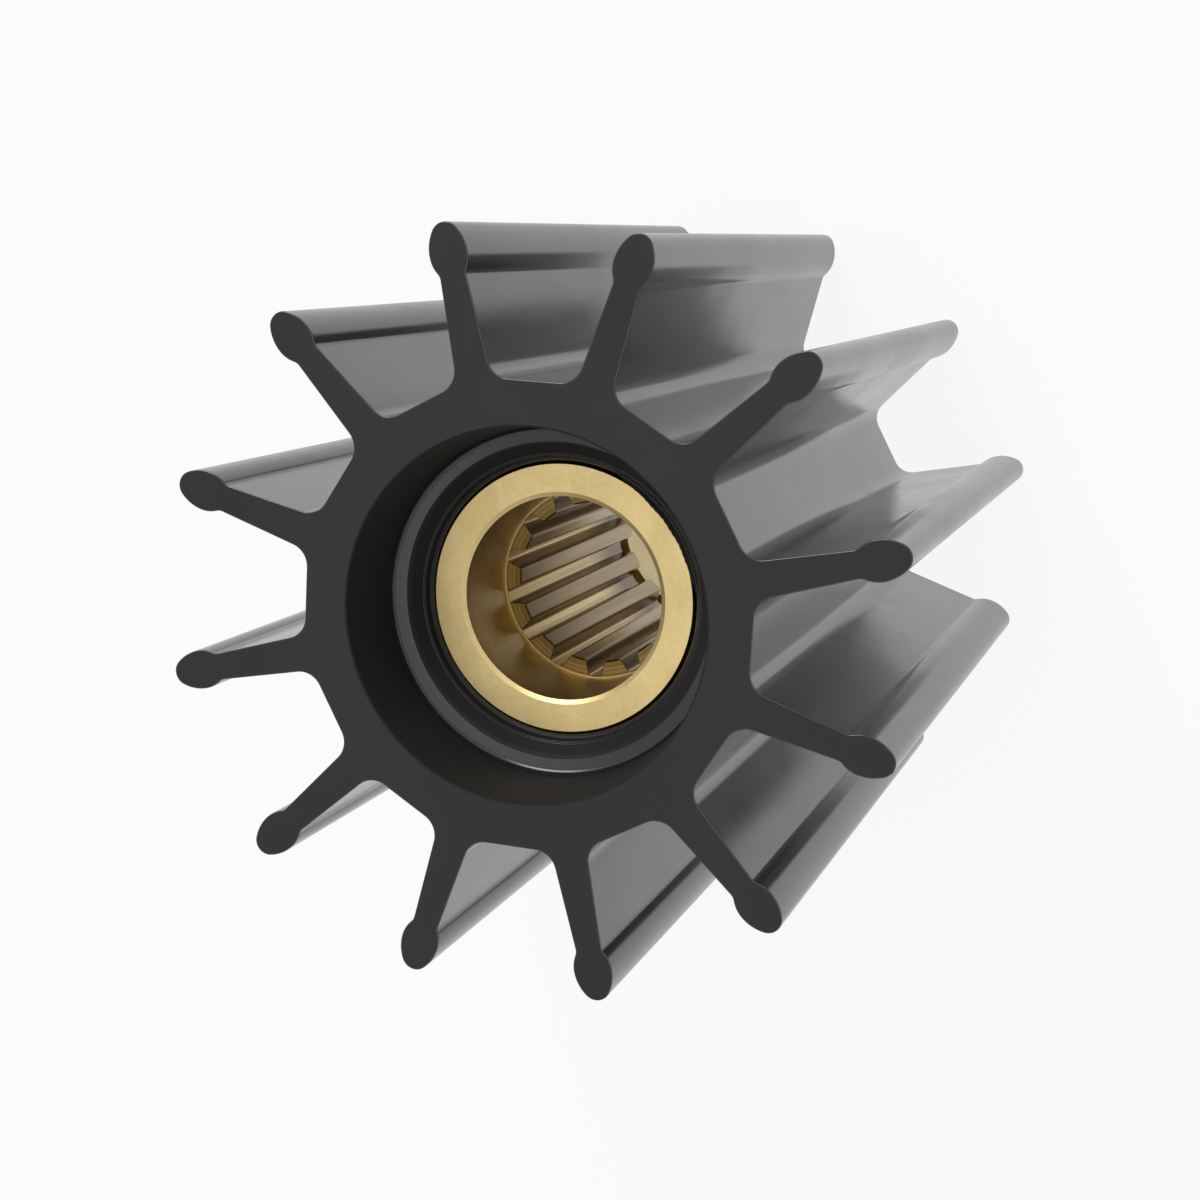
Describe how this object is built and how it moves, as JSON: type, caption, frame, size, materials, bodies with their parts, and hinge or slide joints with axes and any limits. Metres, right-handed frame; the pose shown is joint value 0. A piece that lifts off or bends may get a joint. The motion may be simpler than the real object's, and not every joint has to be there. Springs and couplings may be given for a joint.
{
  "type": "rubber pump impeller",
  "caption": "Flexible pump impeller: a rubber hub with straight bulb-tipped vanes, moulded on a brass bush with an internal spline set back in a round recess.",
  "frame": {"origin": "centre of the rear end face, on the impeller's axis, which is also the middle of the bounding box's bottom", "axes": "+Z along the axis towards the recessed front end; +X through the middle of one vane and of one spline tooth; right handed"},
  "size_m": [0.095, 0.095, 0.099],
  "materials": {
    "rubber": "satin moulded",
    "brass": "fine turned"
  },
  "bodies": {
    "root": {"rubber_body": "rubber", "splined_bush": "brass"}
  },
  "joints": []
}
